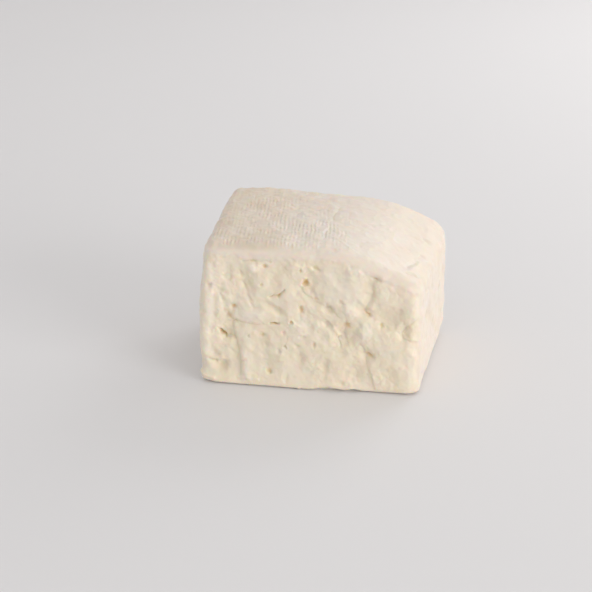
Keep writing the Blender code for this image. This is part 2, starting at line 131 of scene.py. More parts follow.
def outside(points):
    """Below zero inside the rounded block and above zero outside it."""
    x, y, z = points.T
    shoulder = ease(SHOULDER_FROM, SHOULDER_TO, z)
    front_reach = EDGE_REACH + (SHOULDER_REACH - EDGE_REACH) * shoulder
    front_reach = np.maximum(front_reach, RIGHT_FRONT_REACH * ease(*RIGHT_FRONT_EDGE_X, x))
    faces = (
        (z - top_height(x, y), TOP_REACH),
        (-FOOT_SKIM - z, FOOT_REACH),
        (left_x(y, z) - x, LEFT_REACH),
        (x - right_x(y, z), RIGHT_REACH),
        (front_y(x, z) - y, front_reach),
        (y - BLOCK_DEPTH / 2.0, EDGE_REACH),
    )
    turned = sum(np.maximum(gap / reach + 1.0, 0.0) ** 2 for gap, reach in faces)
    return np.sqrt(turned) - 1.0


def settle(cube_points):
    """Moves points on a cube from -1 to 1 along lines from the middle to the rounded block."""
    middle = np.array((0.0, 0.0, BLOCK_HEIGHT / 2.0))
    ways = cube_points * (BLOCK_LENGTH / 2.0, BLOCK_DEPTH / 2.0, BLOCK_HEIGHT / 2.0)
    near, far = (np.full(len(ways), reach) for reach in SETTLE_REACH)
    for _ in range(SETTLE_HALVINGS):
        half = (near + far) / 2.0
        out = outside(middle + ways * half[:, None]) > 0.0
        far = np.where(out, half, far)
        near = np.where(out, near, half)
    return middle + ways * near[:, None]


def outward(points):
    """Unit vectors that point straight out of the rounded block."""
    steps = SLOPE_STEP * np.eye(3)
    slope = np.stack([outside(points + step) - outside(points - step) for step in steps], axis=1)
    return slope / np.linalg.norm(slope, axis=1)[:, None]


# The cut faces. A block is broken or sliced off a larger slab, where its curds part in flat
# facets, with round pits where whey and gas sat, and torn ribs, grooves and steps. The front's
# marks each have a place, a size and a depth; its fine crumb and the back are drawn at random.
class Hollow(NamedTuple):
    """A pit in a face, or a lump where its depth is below zero. u and v are its middle."""

    u: float
    v: float
    width: float
    height: float
    depth: float
    turn: float = 0.0
    lip: float = 0.0


class Stroke(NamedTuple):
    """A groove along a bent line in a face, or a rib where its depth is below zero."""

    path: tuple
    width: float
    depth: float


class Tear(NamedTuple):
    """A low step along a bent line: the side to the right of the path drops, then fades."""

    path: tuple
    drop: float
    fade: float
    width: float = 0.9


class Curds(NamedTuple):
    """Pressed curds of one size: how far they step and tilt, and how sharply they part."""

    size: float
    step: float
    tilt: float
    sharpness: float
    seam: float


class Ripple(NamedTuple):
    """Smooth random unevenness: the size and height of its humps, and the seed of the draw."""

    size: float
    height: float
    seed: int


FRONT_SWELLS = (
    Hollow(-47.5, 27.0, 5.0, 15.0, -1.0),
    Hollow(-45.5, 42.0, 5.0, 25.0, -1.4),
    Hollow(-48.0, 17.5, 6.0, 13.0, -0.9),
    Hollow(-44.0, 13.0, 4.0, 10.0, 0.3),
    Hollow(-42.5, 49.5, 6.0, 11.0, -1.0),
    Hollow(-41.0, 36.5, 3.6, 9.0, -0.7),
    Hollow(-40.5, 8.3, 5.6, 4.4, 1.9),
    Hollow(-39.6, 27.0, 3.4, 7.0, 0.3, 18),
    Hollow(-38.5, 22.5, 6.0, 5.0, 1.3),
    Hollow(-38.0, 31.0, 4.5, 13.0, 0.5, 12),
    Hollow(-37.0, 43.0, 5.0, 8.0, -0.6),
    Hollow(-37.0, 50.0, 3.5, 8.0, 0.6),
    Hollow(-29.8, 48.0, 6.0, 10.0, 0.9, 15),
    Hollow(-29.5, 15.0, 5.0, 24.0, -0.8),
    Hollow(-27.0, 32.5, 13.0, 6.0, -0.9),
    Hollow(-26.3, 54.3, 4.5, 4.0, -1.4),
    Hollow(-23.5, 46.0, 5.0, 12.0, -0.3),
    Hollow(-22.5, 21.0, 6.0, 9.0, 0.9),
    Hollow(-20.5, 10.0, 5.0, 9.0, 0.5),
    Hollow(-17.5, 36.3, 8.5, 3.2, 1.5, -30),
    Hollow(-17.0, 49.5, 5.0, 12.0, 0.5),
    Hollow(-13.0, 11.0, 5.0, 14.0, -0.5),
    Hollow(-11.5, 41.0, 7.0, 12.0, -0.2),
    Hollow(-8.0, 27.5, 8.0, 10.0, -0.6),
    Hollow(-8.0, 55.8, 6.0, 4.5, -0.7),
    Hollow(-6.5, 14.0, 4.0, 6.0, 0.9),
    Hollow(-6.5, 48.5, 7.0, 4.5, 0.5),
    Hollow(-2.0, 48.5, 4.5, 10.0, 1.0, 10),
    Hollow(0.6, 29.8, 3.0, 3.2, -0.6),
    Hollow(2.6, 7.5, 6.0, 10.0, 0.5),
    Hollow(4.6, 11.0, 4.0, 8.0, 1.0),
    Hollow(5.4, 30.5, 4.0, 3.0, 1.3, -25),
    Hollow(5.6, 38.2, 5.0, 3.8, 1.6, -35),
    Hollow(7.0, 48.0, 9.0, 18.0, -0.9),
    Hollow(7.6, 29.0, 2.4, 8.0, -0.4, 40),
    Hollow(10.5, 19.0, 5.0, 10.0, 0.5),
    Hollow(11.0, 27.0, 5.0, 13.0, 0.5, -8),
    Hollow(14.2, 26.0, 8.0, 10.0, 1.2),
    Hollow(14.5, 3.0, 12.0, 6.0, -0.6),
    Hollow(14.5, 37.5, 7.0, 6.0, -1.3, -45),
    Hollow(16.5, 45.5, 11.0, 10.0, -1.0),
    Hollow(16.5, 54.0, 9.0, 10.0, -1.3),
    Hollow(17.0, 10.5, 8.0, 14.0, 0.5),
    Hollow(19.0, 25.5, 5.0, 9.0, -0.7, -30),
    Hollow(21.4, 29.5, 7.0, 11.0, -0.8),
    Hollow(21.5, 37.5, 5.0, 5.0, 0.7),
    Hollow(22.5, 17.5, 6.0, 6.0, 1.3),
    Hollow(28.5, 46.5, 5.0, 8.0, -0.9),
    Hollow(29.5, 20.0, 5.0, 10.0, -0.5),
    Hollow(31.0, 35.0, 11.0, 10.0, 1.5),
    Hollow(32.0, 10.0, 6.0, 8.0, 0.6),
    Hollow(38.2, 29.8, 5.2, 8.0, 1.6),
    Hollow(41.5, 14.0, 5.0, 20.0, -0.5),
    Hollow(42.0, 40.5, 6.0, 10.0, -0.8),
)
FRONT_PITS = (
    Hollow(-40.0, 23.2, 5.0, 1.4, 2.2, -52, 0.2),
    Hollow(-37.0, 31.4, 2.4, 3.2, 0.8, 30),
    Hollow(-34.8, 36.0, 2.6, 2.2, 1.1),
    Hollow(-34.2, 29.4, 1.8, 2.6, 0.6, 20),
    Hollow(-31.4, 51.3, 1.4, 2.6, 0.5, 15),
    Hollow(-29.6, 57.4, 2.4, 1.5, 0.3),
    Hollow(-26.4, 57.6, 2.8, 1.2, 0.4, -20),
    Hollow(-22.9, 47.0, 1.9, 1.7, 0.5),
    Hollow(-22.8, 23.9, 2.4, 2.4, 0.7),
    Hollow(-21.5, 55.6, 2.4, 1.8, 0.9),
    Hollow(-19.6, 7.3, 2.8, 2.0, 0.8, -25, 0.1),
    Hollow(-17.6, 29.4, 3.8, 1.6, 2.0, 3, 0.1),
    Hollow(-15.6, 42.4, 2.0, 1.7, 0.6),
    Hollow(-12.7, 19.0, 1.6, 1.7, 0.5, 0, 0.2),
    Hollow(-9.8, 30.6, 1.9, 1.6, 0.9, 0, 0.2),
    Hollow(-6.2, 54.2, 1.6, 1.5, 0.9),
    Hollow(-6.0, 36.3, 2.2, 3.6, 1.1, 8),
    Hollow(-4.3, 48.8, 2.8, 3.4, 1.6, -15, 0.2),
    Hollow(-0.2, 20.8, 1.5, 2.8, 0.7, 0, 0.1),
    Hollow(0.2, 55.6, 3.4, 2.0, 0.8, -25, 0.1),
    Hollow(0.4, 42.0, 2.2, 1.5, 0.6, -30, 0.1),
    Hollow(6.6, 37.8, 3.6, 1.4, 0.3, -42),
    Hollow(13.8, 31.0, 2.8, 3.2, 1.2, -15),
    Hollow(22.6, 36.4, 3.6, 1.6, 1.1, -35),
    Hollow(23.5, 17.4, 3.6, 2.2, 1.2, -35),
    Hollow(26.4, 52.6, 4.4, 2.0, 1.1, -5),
    Hollow(28.3, 32.0, 1.9, 2.3, 0.8),
)
FRONT_DIMPLES = (
    Hollow(-45.0, 45.6, 2.6, 3.0, 1.4),
    Hollow(-42.8, 13.0, 2.0, 2.0, 0.3),
    Hollow(-39.8, 40.0, 1.6, 4.0, 0.5, 25),
    Hollow(-28.8, 22.9, 1.7, 1.6, 0.6),
    Hollow(-28.0, 46.6, 3.0, 3.4, 0.3),
    Hollow(-20.9, 19.0, 2.4, 2.0, 0.3, -20),
    Hollow(-15.8, 17.0, 1.8, 2.2, 0.6, 20),
    Hollow(-13.4, 25.4, 1.7, 1.9, 0.7),
    Hollow(-12.3, 5.0, 2.4, 4.2, 0.6),
    Hollow(-7.7, 20.0, 2.0, 1.9, 0.5),
    Hollow(-5.4, 24.0, 3.0, 1.8, 0.8),
    Hollow(10.2, 24.8, 1.7, 2.0, 0.8, 0, 0.1),
    Hollow(11.2, 41.6, 2.6, 2.0, 0.8, -20),
    Hollow(11.8, 4.3, 2.8, 2.2, 0.4),
    Hollow(19.4, 31.4, 2.0, 1.5, 0.4),
    Hollow(35.0, 38.6, 3.2, 4.6, 0.5),
)
FRONT_GROOVES = (
    Stroke(((-46.4, 10.9), (-43.2, 9.6)), 1.4, 0.65),
    Stroke(((-30.6, 57.6), (-26.0, 57.6), (-19.0, 57.7)), 1.0, 0.5),
    Stroke(((-38.6, 21.6), (-35.0, 21.6)), 1.4, 0.7),
    Stroke(((-30.6, 46.6), (-28.6, 41.5), (-26.2, 36.0)), 1.6, 0.4),
    Stroke(((-19.2, 41.6), (-15.8, 41.9), (-13.6, 44.6)), 1.2, 0.9),
)
FRONT_TEARS = (
    Tear(
        ((-34.8, 30.2), (-34.7, 24.6), (-33.7, 20.0), (-32.0, 15.0), (-31.5, 6.0)), 0.9, 4.0, 1.6
    ),
    Tear(((-33.6, 29.2), (-27.7, 29.0), (-24.9, 28.9), (-19.4, 29.4)), 0.75, 3.0),
    Tear(
        ((-5.4, 46.0), (-3.8, 44.4), (0.6, 41.2), (3.4, 39.8), (6.4, 38.1), (8.8, 36.0)), 0.5, 3.0
    ),
    Tear(((13.9, 32.0), (13.1, 29.5), (12.8, 26.5), (13.6, 24.0)), 0.5, 3.0),
    Tear(((6.0, 31.5), (9.0, 27.5), (10.8, 21.5)), 0.6, 3.0),
    Tear(((25.2, 51.2), (25.0, 46.4), (23.7, 42.2), (22.0, 38.2)), 1.2, 4.0, 2.6),
    Tear(
        ((19.9, 27.0), (20.4, 21.6), (22.4, 18.0), (23.0, 14.2), (24.3, 9.0), (25.6, 5.0)),
        0.7,
        4.0,
        1.5,
    ),
    Tear(((41.3, 34.0), (39.2, 31.2), (36.8, 28.6), (38.2, 26.4), (43.0, 25.0)), 0.6, 2.0),
)
# Here the front's curd parted smoothly. Each place is a hollow that is 1 deep in the middle.
FRONT_SMOOTH_PLACES = (
    Hollow(-29.0, 34.5, 12.0, 10.0, 1.0),
    Hollow(-26.0, 12.0, 8.0, 12.0, 1.0),
    Hollow(-15.0, 48.0, 9.0, 14.0, 1.0),
    Hollow(-11.5, 38.0, 8.0, 10.0, 1.0),
    Hollow(2.0, 47.0, 9.0, 10.0, 1.0),
    Hollow(11.0, 15.0, 9.0, 14.0, 1.0),
    Hollow(16.0, 47.0, 14.0, 15.0, 1.0),
    Hollow(34.0, 38.0, 9.0, 10.0, 1.0),
    Hollow(36.0, 16.0, 13.0, 18.0, 1.0),
)
LARGE_CURDS = Curds(13.0, 0.6, 0.2, 7.0, 0.0)
SMALL_CURDS = Curds(6.0, 0.14, 0.1, 7.0, 0.12)
CURD_OFF_GRID = 0.4
CURD_BEND_SIZE = 6.0
CURD_BEND = 1.6
SEAM_WIDTH = 0.6
OPEN_SEAM_SIZE = 7.0
OPEN_SEAM_LIMITS = (0.0, 0.6)
CRUMBS = ((1.6, 0.11), (0.8, 0.1))
CRUMB_LEAST = 0.2
CRUMB_PATCH_SIZE = 8.0
CRUMB_PATCH_LIMITS = (-0.1, 0.5)
CRUMB_LOSS_WHERE_SMOOTH = 0.7
FRONT_SEED = 20
BACK_SEED = 40
BACK_SWELL = Ripple(26.0, 0.7, BACK_SEED)
MARK_BENDS_U = (Ripple(1.5, 0.3, 60), Ripple(0.8, 0.2, 62))
MARK_BENDS_V = (Ripple(1.5, 0.3, 61), Ripple(0.8, 0.2, 63))
LINE_BEND_U = Ripple(3.4, 0.5, 64)
LINE_BEND_V = Ripple(3.4, 0.5, 65)
HOLLOW_SIDES = 1.4
LIP_REACH = 1.35
LIP_SPREAD = 0.08
STROKE_SIDES = 2.4
TEAR_SIDES = 1.5
# How much of the painted yellow pit shade narrow pits and grooves carry.
SHADED_PIT_WIDTH = 2.6
SHADED_STROKE_SHARE = 0.5

CUT_FACING = (0.55, 0.9)
RIM_X = (-50.0, -46.0, -31.0, 12.0, 25.0, 42.0, 50.0)
RIM_Z = (62.0, 61.0, 58.9, 60.0, 54.6, 47.0, 43.5)
RIM_RAGGED = Ripple(3.0, 0.8, 5)
RIM_FADE = (0.0, 1.6)
CUT_FOOT_FADE = (0.3, 2.4)
FOOT_FACING = (0.0, 0.3)
FOOT_NOTCHES = (
    Hollow(-48.0, 0.0, 7.0, 2.6, 1.2),
    Hollow(-6.6, 0.6, 1.4, 1.8, -0.3),
    Hollow(5.8, 0.0, 9.0, 3.6, 2.4),
    Hollow(16.8, 0.0, 4.4, 2.6, 1.5),
)
FOOT_LIPS = (
    Stroke(((-52.0, 5.6), (-48.5, 3.8), (-43.5, 2.9)), 1.4, -0.8),
    Stroke(((-33.0, 4.2), (-29.0, 3.9), (-24.5, 3.7)), 1.0, -0.35),
)

BACK_HOLLOW_SEED = 11
BACK_HOLLOW_COUNT = 46
BACK_HOLLOW_WIDTH = (1.6, 7.0)
BACK_HOLLOW_FLATNESS = (0.5, 1.0)
BACK_HOLLOW_DEPTH = (0.8, 2.2)
BACK_HOLLOW_X = (-43.0, 43.0)
BACK_HOLLOW_Z = (6.0, 52.0)
BACK_HOLLOW_FULL_WIDTH = 2.5
BACK_HOLLOW_SPREAD = 2.5
BACK_GROOVE_SEED = 12
BACK_GROOVE_COUNT = 12
BACK_GROOVE_DEPTH = (0.6, 1.2)
BACK_RIB_SEED = 13
BACK_RIB_COUNT = 9
BACK_RIB_DEPTH = (-1.2, -0.5)
BACK_TEAR_SEED = 14
BACK_TEAR_COUNT = 9
BACK_TEAR_DROP = (0.5, 1.1)
BACK_TEAR_FADE = (2.0, 5.0)
BACK_STROKE_X = (-38.0, 38.0)
BACK_STROKE_Z = (10.0, 47.0)
BACK_STROKE_LENGTH = (4.0, 13.0)
BACK_STROKE_WIDTH = (1.2, 3.0)
BACK_STROKE_KINK = 0.3


def lattice_noise(points, size, seed):
    """Smooth noise from -1 to 1, with a random value at each corner of a grid of this size."""
    corners_across = 24
    lattice = np.random.default_rng(seed).uniform(-1.0, 1.0, (corners_across,) * 3)
    cell = points / size
    low = np.floor(cell).astype(int)
    share = cell - low
    share = share * share * (3.0 - 2.0 * share)
    total = np.zeros(len(points))
    for corner in itertools.product((0, 1), repeat=3):
        x, y, z = ((low + corner) % corners_across).T
        weight = np.where(corner, share, 1.0 - share).prod(axis=1)
        total += weight * lattice[x, y, z]
    return total


def ripple_height(ripple, points):
    """Height of a ripple at each point."""
    return ripple.height * lattice_noise(points, ripple.size, ripple.seed)


def curd_facets(u, v, curds, seed):
    """Height of the tilted facets of pressed curds, and depth of the seams between them."""
    curds_across = 32
    draws = np.random.default_rng(seed).uniform(-1.0, 1.0, (curds_across, curds_across, 5))
    column = np.floor(u / curds.size).astype(int)
    row = np.floor(v / curds.size).astype(int)
    height = np.zeros(len(u))
    total = np.zeros(len(u))
    gaps = []
    for across, up in itertools.product((-1, 0, 1), repeat=2):
        curd = draws[(column + across) % curds_across, (row + up) % curds_across].T
        from_u = u - (column + across + 0.5 + CURD_OFF_GRID * curd[0]) * curds.size
        from_v = v - (row + up + 0.5 + CURD_OFF_GRID * curd[1]) * curds.size
        gap = from_u**2 + from_v**2
        weight = np.exp(-curds.sharpness * gap / curds.size**2)
        facet = curds.step * curd[2] + curds.tilt * (curd[3] * from_u + curd[4] * from_v)
        height += weight * facet
        total += weight
        gaps.append(gap)
    nearest = np.sqrt(np.partition(gaps, 1, axis=0)[:2])
    seam_depth = curds.seam * np.exp(-(((nearest[1] - nearest[0]) / SEAM_WIDTH) ** 2))
    return height / total, seam_depth


def hollow_depth(hollow, u, v):
    """How deep a hollow is at each place: flat in the middle, with steep sides and a lip."""
    turn = np.radians(hollow.turn)
    along = (u - hollow.u) * np.cos(turn) + (v - hollow.v) * np.sin(turn)
    across = (v - hollow.v) * np.cos(turn) - (u - hollow.u) * np.sin(turn)
    reach = (2.0 * along / hollow.width) ** 2 + (2.0 * across / hollow.height) ** 2
    lip = hollow.lip * np.exp(-((np.sqrt(reach) - LIP_REACH) ** 2) / LIP_SPREAD)
    return hollow.depth * np.exp(-(reach**HOLLOW_SIDES)) - lip


def from_path(path, u, v):
    """Distance to the nearest point of a bent line, and how far right of it each place is."""
    nearest = np.full(len(u), np.inf)
    right = np.zeros(len(u))
    for (u0, v0), (u1, v1) in itertools.pairwise(path):
        run = np.hypot(u1 - u0, v1 - v0)
        share = ((u - u0) * (u1 - u0) + (v - v0) * (v1 - v0)) / run**2
        share = np.clip(share, 0.0, 1.0)
        gap = np.hypot(u - u0 - share * (u1 - u0), v - v0 - share * (v1 - v0))
        side = ((u - u0) * (v1 - v0) - (v - v0) * (u1 - u0)) / run
        right = np.where(gap < nearest, side, right)
        nearest = np.minimum(nearest, gap)
    return nearest, right


def stroke_depth(stroke, u, v):
    """How deep a stroke is at each place."""
    gap, _ = from_path(stroke.path, u, v)
    return stroke.depth * np.exp(-((2.0 * gap / stroke.width) ** STROKE_SIDES))


def tear_depth(tear, u, v):
    """How deep a tear is at each place: a step that fades away from its line."""
    gap, right = from_path(tear.path, u, v)
    half = tear.width / 2.0
    return tear.drop * ease(-half, half, right) * np.exp(-((gap / tear.fade) ** TEAR_SIDES))


def on_cut(points, normals, side):
    """1 where a point lies on the cut face that looks along side, fading out at its edges."""
    x, _, z = points.T
    faces_it = ease(*CUT_FACING, side * normals[:, 1])
    rim = np.interp(x, RIM_X, RIM_Z) + ripple_height(RIM_RAGGED, points)
    return faces_it * ease(*RIM_FADE, rim - z) * ease(*CUT_FOOT_FADE, z)


def curd_relief(points, curd_layers, seed, smooth_places=()):
    """Depth of the curd facets and crumb of a cut face, and of the open seams in it."""
    x, _, z = points.T
    depth = np.zeros(len(points))
    u = x + CURD_BEND * lattice_noise(points, CURD_BEND_SIZE, seed + 1)
    v = z + CURD_BEND * lattice_noise(points, CURD_BEND_SIZE, seed + 2)
    open_share = ease(*OPEN_SEAM_LIMITS, lattice_noise(points, OPEN_SEAM_SIZE, seed + 3))
    seams = np.zeros(len(points))
    for layer, curds in enumerate(curd_layers):
        facets, gaps = curd_facets(u, v, curds, seed + 4 + layer)
        depth += facets
        seams += gaps * open_share
    patches = lattice_noise(points, CRUMB_PATCH_SIZE, seed + 8)
    crumbly = CRUMB_LEAST + ease(*CRUMB_PATCH_LIMITS, patches)
    for place in smooth_places:
        crumbly *= 1.0 - CRUMB_LOSS_WHERE_SMOOTH * hollow_depth(place, x, z)
    for layer, (size, height) in enumerate(CRUMBS):
        depth += crumbly * height * lattice_noise(points, size, seed + 9 + layer)
    return depth + seams, seams


def crag_relief(points, pits, swells, strokes, tears):
    """Depth of named marks, added up, and how much of it is in narrow pits and grooves."""
    u = points[:, 0].copy()
    v = points[:, 2].copy()
    for bend_u, bend_v in zip(MARK_BENDS_U, MARK_BENDS_V):
        u += ripple_height(bend_u, points)
        v += ripple_height(bend_v, points)
    depth = np.zeros(len(points))
    narrow = np.zeros(len(points))
    for pit in pits:
        mark = hollow_depth(pit, u, v)
        depth += mark
        share = min(1.0, SHADED_PIT_WIDTH / max(pit.width, pit.height))
        narrow += np.clip(mark, 0.0, None) * share
    for swell in swells:
        depth += hollow_depth(swell, u, v)
    u += ripple_height(LINE_BEND_U, points)
    v += ripple_height(LINE_BEND_V, points)
    for stroke in strokes:
        mark = stroke_depth(stroke, u, v)
        depth += mark
        narrow += np.clip(mark, 0.0, None) * SHADED_STROKE_SHARE
    for tear in tears:
        depth += tear_depth(tear, u, v)
    return depth, narrow


def back_hollows():
    """Hollows for the back face, drawn at random clear of its edges."""
    random = np.random.default_rng(BACK_HOLLOW_SEED)
    narrow, wide = BACK_HOLLOW_WIDTH
    hollows = []
    for _ in range(BACK_HOLLOW_COUNT):
        width = narrow + (wide - narrow) * random.uniform() ** BACK_HOLLOW_SPREAD
        hollows.append(
            Hollow(
                random.uniform(*BACK_HOLLOW_X),
                random.uniform(*BACK_HOLLOW_Z),
                width,
                width * random.uniform(*BACK_HOLLOW_FLATNESS),
                random.uniform(*BACK_HOLLOW_DEPTH) * min(1.0, BACK_HOLLOW_FULL_WIDTH / width),
                random.uniform(-90.0, 90.0),
            )
        )
    return hollows


def back_path(random):
    """A line with one bend in it, somewhere on the back face."""
    u = random.uniform(*BACK_STROKE_X)
    v = random.uniform(*BACK_STROKE_Z)
    turn = random.uniform(-np.pi, np.pi)
    reach = random.uniform(*BACK_STROKE_LENGTH) / 2.0
    along = reach * np.cos(turn)
    up = reach * np.sin(turn)
    kink = BACK_STROKE_KINK * reach * random.uniform(-1.0, 1.0)
    return ((u - along, v - up), (u - kink * np.sin(turn), v + kink), (u + along, v + up))


def back_strokes(seed, count, depth):
    """Grooves or ribs for the back face, with depths between two limits."""
    random = np.random.default_rng(seed)
    return [
        Stroke(back_path(random), random.uniform(*BACK_STROKE_WIDTH), random.uniform(*depth))
        for _ in range(count)
    ]


def back_tears():
    """Tears for the back face."""
    random = np.random.default_rng(BACK_TEAR_SEED)
    return [
        Tear(back_path(random), random.uniform(*BACK_TEAR_DROP), random.uniform(*BACK_TEAR_FADE))
        for _ in range(BACK_TEAR_COUNT)
    ]


# The pressed skin. The top and ends lay against cloth under a weight: the cloth's threads
# printed short dashes in the top, and a fold of it left a crease across. The skin's colour is
# uneven in random patches and carries painted shade: darker and yellower towards the left of the
# top, on the right end and in that end's creases.
SKIN_INSET = 0.26
SKIN_FACING = (0.3, 0.8)
SKIN_FOOT_FADE = (0.0, 4.0)
SKIN_SWELL = Ripple(17.0, 0.35, 2)
SKIN_GRAIN = (
    Ripple(8.0, 0.36, 80),
    Ripple(3.6, 0.24, 81),
    Ripple(1.9, 0.16, 82),
    Ripple(1.0, 0.08, 83),
)
SMOOTH_GRAIN_HEIGHTS = (0.08, 0.12, 0.12, 0.06)
SMOOTH_FROM_X = (-8.0, 14.0)
TOP_CREASE = Stroke(((2.6, 15.0), (1.5, 4.0), (1.3, -6.0), (0.6, -23.0)), 1.3, 0.18)
TOP_CREASE_SIDE = Tear(((0.6, -23.0), (1.3, -6.0), (1.5, 4.0), (2.6, 15.0)), 0.3, 5.0)
CREASE_WANDER = Ripple(3.0, 0.7, 73)
CREASE_STRENGTH = 0.5
CREASE_FADES = Ripple(6.0, 0.5, 74)
TOP_FOLD = Stroke(((6.0, -20.0), (15.0, -29.0)), 1.4, -0.15)
TOP_NICK = Stroke(((37.6, -22.5), (40.3, -13.9), (42.5, -7.0)), 2.2, 0.45)
TOP_DENTS = (
    Hollow(-31.0, 26.0, 36.0, 44.0, -0.9),
    Hollow(39.5, -27.0, 6.0, 2.2, 0.7, 30),
    Hollow(42.5, 9.0, 5.0, 3.0, 0.7),
)
RIGHT_CREASES = (
    Stroke(((-38.0, 51.0), (-24.0, 45.0), (-10.0, 39.0), (16.0, 29.0)), 2.2, 0.45),
    Stroke(((-17.0, 30.0), (-5.0, 24.0), (9.0, 12.4), (14.0, 8.0)), 4.2, 0.7),
)
RIGHT_HOLLOWS = (
    Hollow(-27.0, 36.0, 12.0, 5.0, -0.6),
    Hollow(-12.0, 31.0, 14.0, 7.0, 0.6, -30),
    Hollow(-20.0, 18.0, 16.0, 12.0, -0.5),
    Hollow(12.0, 9.6, 5.0, 4.0, 1.0),
)
RIGHT_WANDER_Y = Ripple(6.0, 2.0, 75)
RIGHT_WANDER_Z = Ripple(5.0, 1.2, 76)
RIGHT_CREASE_STRENGTH = 0.55
RIGHT_CREASE_FADES = Ripple(7.0, 0.45, 77)
RIGHT_GRAIN = (Ripple(5.0, 0.3, 78), Ripple(2.4, 0.18, 79))
CLOTH_FACING = (0.8, 0.97)
CLOTH_PITCH = 1.65
CLOTH_ROWS = 3.4
CLOTH_HEIGHT = 0.25
CLOTH_SKEW = 0.12
CLOTH_WANDER = Ripple(5.0, 0.45, 70)
CLOTH_ROW_WANDER = 2.0
CLOTH_DASH_LEAST = 0.35
CLOTH_DASH_LIMITS = (-0.6, 0.6)
CLOTH_BREAKS = Ripple(2.4, 1.0, 71)
CLOTH_BREAK_STRETCH = (1.0, 0.5, 1.0)
CLOTH_BREAK_LIMITS = (-0.7, 0.3)
CLOTH_PRESSURE = Ripple(13.0, 1.0, 72)
CLOTH_PRESSURE_LEAST = 0.4
CLOTH_PRESSURE_LIMITS = (-0.5, 0.3)
CLOTH_FADE_X = (-8.0, 18.0)
CLOTH_FADE_Y = (-12.0, 22.0)
CLOTH_LOSS_AT_BACK = 0.6
# Painted shade on the skin: it darkens towards the left of the top, on the right end and in the
# right end's creases. The patches make it uneven at random.
SKIN_SHADE_FACING = (0.45, 0.9)
SKIN_SHADE_LEFT_X = (-38.0, 6.0)
SKIN_SHADE_LEFT = 0.7
SKIN_PATCHES = (Ripple(11.0, 1.0, 90), Ripple(4.0, 0.6, 91))
SKIN_PATCH = 0.35
SKIN_PATCH_LEAST = 0.4
SKIN_SHADE_RIGHT_X = (14.0, 42.0)
SKIN_SHADE_RIGHT = 0.22
SKIN_SHADE_RIGHT_ON_TOP = 0.15
SKIN_SHADE_IN_CREASES = 0.6


def cloth_print(points):
    """Height of the short dashes that the threads of the cloth pressed into the top."""
    x, y, _ = points.T
    wander = ripple_height(CLOTH_WANDER, points)
    threads = np.cos(2.0 * np.pi * (x + CLOTH_SKEW * y + wander) / CLOTH_PITCH)
    rows = np.cos(2.0 * np.pi * (y + CLOTH_ROW_WANDER * wander) / CLOTH_ROWS)
    dashes = CLOTH_DASH_LEAST + (1.0 - CLOTH_DASH_LEAST) * ease(*CLOTH_DASH_LIMITS, rows)
    breaks = ripple_height(CLOTH_BREAKS, points * CLOTH_BREAK_STRETCH)
    broken = ease(*CLOTH_BREAK_LIMITS, breaks)
    pressure = ease(*CLOTH_PRESSURE_LIMITS, ripple_height(CLOTH_PRESSURE, points))
    pressed = CLOTH_PRESSURE_LEAST + (1.0 - CLOTH_PRESSURE_LEAST) * pressure
    pressed *= 1.0 - ease(*CLOTH_FADE_X, x)
    pressed *= 1.0 - CLOTH_LOSS_AT_BACK * ease(*CLOTH_FADE_Y, y)
    return CLOTH_HEIGHT * threads * dashes * broken * pressed


def skin_relief(points, normals):
    """Depth of the swells, the grain, the creases and the dents of the pressed skin."""
    x, y, _ = points.T
    depth = ripple_height(SKIN_SWELL, points)
    on_top = ease(*SKIN_FACING, normals[:, 2])
    smooth = on_top * ease(*SMOOTH_FROM_X, x)
    for grain, low in zip(SKIN_GRAIN, SMOOTH_GRAIN_HEIGHTS):
        height = grain.height + (low - grain.height) * smooth
        depth += height * lattice_noise(points, grain.size, grain.seed)
    u = x + ripple_height(CREASE_WANDER, points)
    fades = CREASE_STRENGTH + ripple_height(CREASE_FADES, points)
    marks = fades * (stroke_depth(TOP_CREASE, u, y) + tear_depth(TOP_CREASE_SIDE, u, y))
    marks += stroke_depth(TOP_NICK, u, y)
    marks += stroke_depth(TOP_FOLD, x, y)
    marks -= ease(*CLOTH_FACING, normals[:, 2]) * cloth_print(points)
    for dent in TOP_DENTS:
        marks += hollow_depth(dent, x, y)
    return depth + on_top * marks


def right_relief(points, normals):
    """Depth of the creases and dents of the right end."""
    y = points[:, 1] + ripple_height(RIGHT_WANDER_Y, points)
    z = points[:, 2] + ripple_height(RIGHT_WANDER_Z, points)
    fades = RIGHT_CREASE_STRENGTH + ripple_height(RIGHT_CREASE_FADES, points)
    marks = fades * sum(stroke_depth(crease, y, z) for crease in RIGHT_CREASES)
    marks += sum(hollow_depth(hollow, y, z) for hollow in RIGHT_HOLLOWS)
    marks += sum(ripple_height(grain, points) for grain in RIGHT_GRAIN)
    return ease(*SKIN_FACING, normals[:, 0]) * marks


def skin_shade_share(points, normals):
    """How far the skin turns darker, 0 to 1: painted shade left on the top, on the right end and
    in its creases, and random patches.
    """
    x = points[:, 0]
    patches = sum(ripple_height(patch, points) for patch in SKIN_PATCHES)
    on_top = ease(*SKIN_SHADE_FACING, normals[:, 2])
    left = 1.0 - ease(*SKIN_SHADE_LEFT_X, x)
    patchy = SKIN_PATCH * (SKIN_PATCH_LEAST + (1.0 - SKIN_PATCH_LEAST) * left)
    share = on_top * (SKIN_SHADE_LEFT * left + patches * patchy)
    share += (SKIN_SHADE_RIGHT + SKIN_SHADE_RIGHT_ON_TOP * on_top) * ease(*SKIN_SHADE_RIGHT_X, x)
    share += SKIN_SHADE_IN_CREASES * np.clip(right_relief(points, normals), 0.0, None)
    return np.clip(share, 0.0, 1.0)


